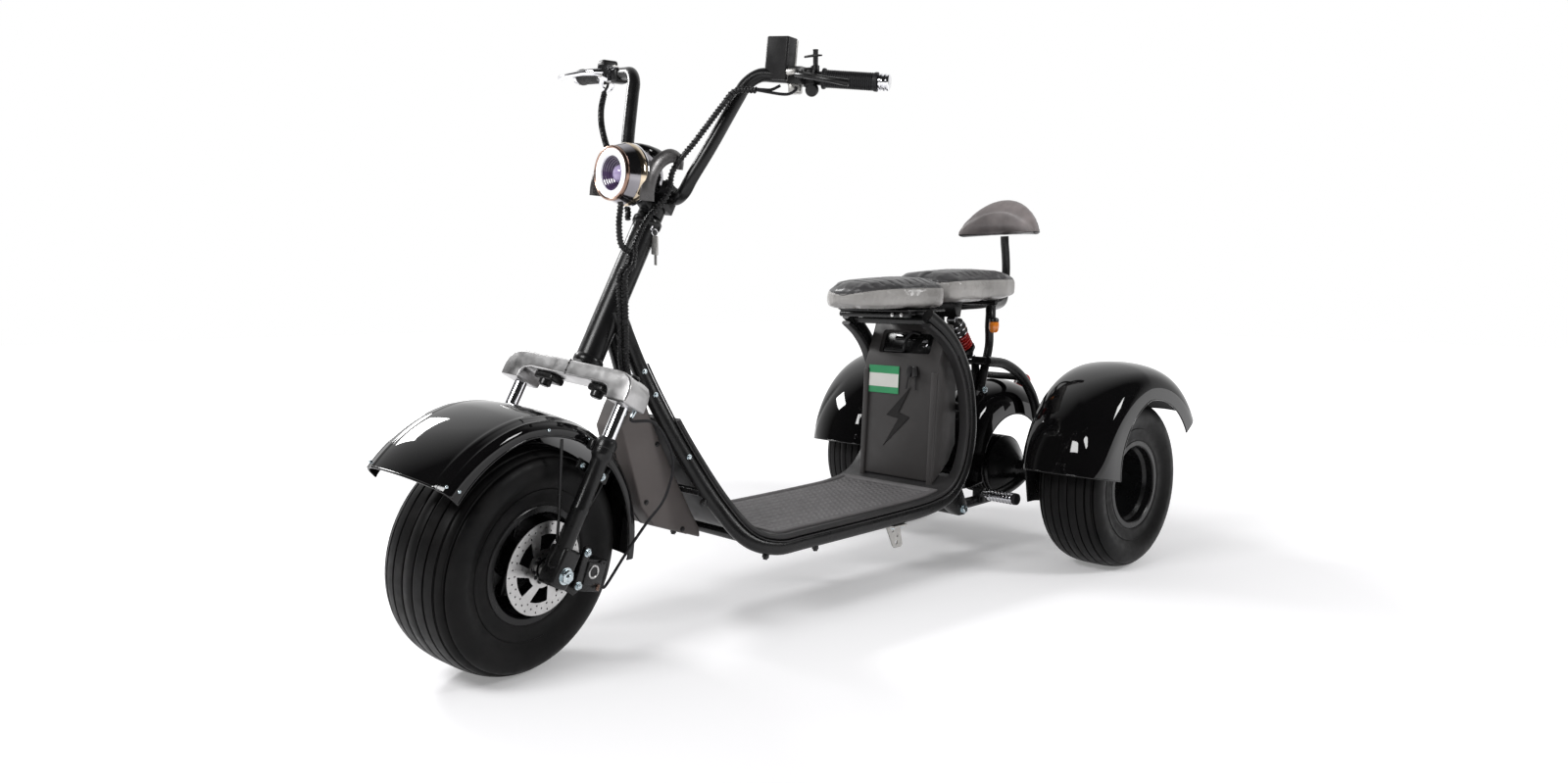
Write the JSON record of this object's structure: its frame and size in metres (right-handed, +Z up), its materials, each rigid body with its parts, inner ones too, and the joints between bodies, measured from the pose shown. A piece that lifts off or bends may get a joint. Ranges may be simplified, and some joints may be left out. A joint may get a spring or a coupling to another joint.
{
  "type": "electric trike scooter",
  "caption": "Step-through electric trike scooter with fat tyres, raked fork, high bars, two seats, backrest and gloss mudguards.",
  "frame": {"origin": "on the floor, midway between the front and rear axles, on the centre plane", "axes": "-Y to the front, +X to the rider's left, +Z up"},
  "size_m": [0.996, 2.1226, 1.267],
  "materials": {
    "amber_lens": "gloss",
    "brushed": "brushed",
    "chrome": "polished",
    "cover_plastic": "matte",
    "gloss_black": "gloss",
    "lamp_lens": "gloss",
    "mat_rubber": "matte",
    "red_lens": "gloss",
    "satin_black": "satin",
    "shock": "gloss",
    "steel": "satin",
    "tray_plastic": "matte",
    "tyre_rubber": "matte",
    "vinyl": "satin"
  },
  "bodies": {
    "frame": {"main_frame": "satin_black", "body_tray": "tray_plastic", "floor_mat": "mat_rubber", "battery_box": "tray_plastic", "cover_box": "cover_plastic", "seat_bracket": "satin_black", "rear_seat": "vinyl", "backrest_pad": "vinyl", "backrest_post": "satin_black", "rear_axle": "satin_black", "rear_left_mudguard": "gloss_black", "rear_right_mudguard": "gloss_black", "centre_mudguard": "gloss_black", "shock_left": "shock", "shock_right": "shock", "footpeg_left": "chrome", "footpeg_right": "chrome", "indicator_left": "amber_lens", "indicator_right": "amber_lens", "stand_bracket": "steel", "tail_light": "red_lens"},
    "front_fork": {"stem": "satin_black", "handlebar": "satin_black", "grip_left": "mat_rubber", "grip_right": "mat_rubber", "bar_end_left": "chrome", "bar_end_right": "chrome", "brake_lever_left": "satin_black", "brake_lever_right": "chrome", "display": "tray_plastic", "headlight_housing": "chrome", "headlight_lens": "lamp_lens", "fork_crown": "brushed", "stanchion_left": "chrome", "stanchion_right": "chrome", "fork_leg_left": "satin_black", "fork_leg_right": "satin_black", "front_axle": "steel", "brake_caliper": "satin_black", "brake_hose": "satin_black", "front_mudguard": "gloss_black"},
    "front_wheel": {"front_tyre": "tyre_rubber", "front_rim": "satin_black", "brake_disc": "steel"},
    "rear_left_wheel": {"rear_left_tyre": "tyre_rubber", "rear_left_rim": "satin_black"},
    "rear_right_wheel": {"rear_right_tyre": "tyre_rubber", "rear_right_rim": "satin_black"},
    "seat": {"front_seat": "vinyl", "seat_pan": "satin_black"}
  },
  "joints": [
    {"name": "steering", "type": "hinge", "parent": "frame", "child": "front_fork", "pos_m": [0, -0.793, 0.2308], "axis": [0, 0.4695, 0.8829], "range_deg": [-49, 20]},
    {"name": "front_wheel_spin", "type": "hinge", "parent": "front_fork", "child": "front_wheel", "pos_m": [0, -0.793, 0.2308], "axis": [0.9694, 0.2166, -0.1152], "continuous": true},
    {"name": "rear_left_wheel_spin", "type": "hinge", "parent": "frame", "child": "rear_left_wheel", "pos_m": [0.385, 0.793, 0.228], "axis": [1, 0, 0], "continuous": true},
    {"name": "rear_right_wheel_spin", "type": "hinge", "parent": "frame", "child": "rear_right_wheel", "pos_m": [-0.385, 0.793, 0.228], "axis": [1, 0, 0], "continuous": true},
    {"name": "seat_tilt", "type": "hinge", "parent": "frame", "child": "seat", "pos_m": [0, 0.195, 0.68], "axis": [1, 0, 0], "range_deg": [0, 55]}
  ]
}
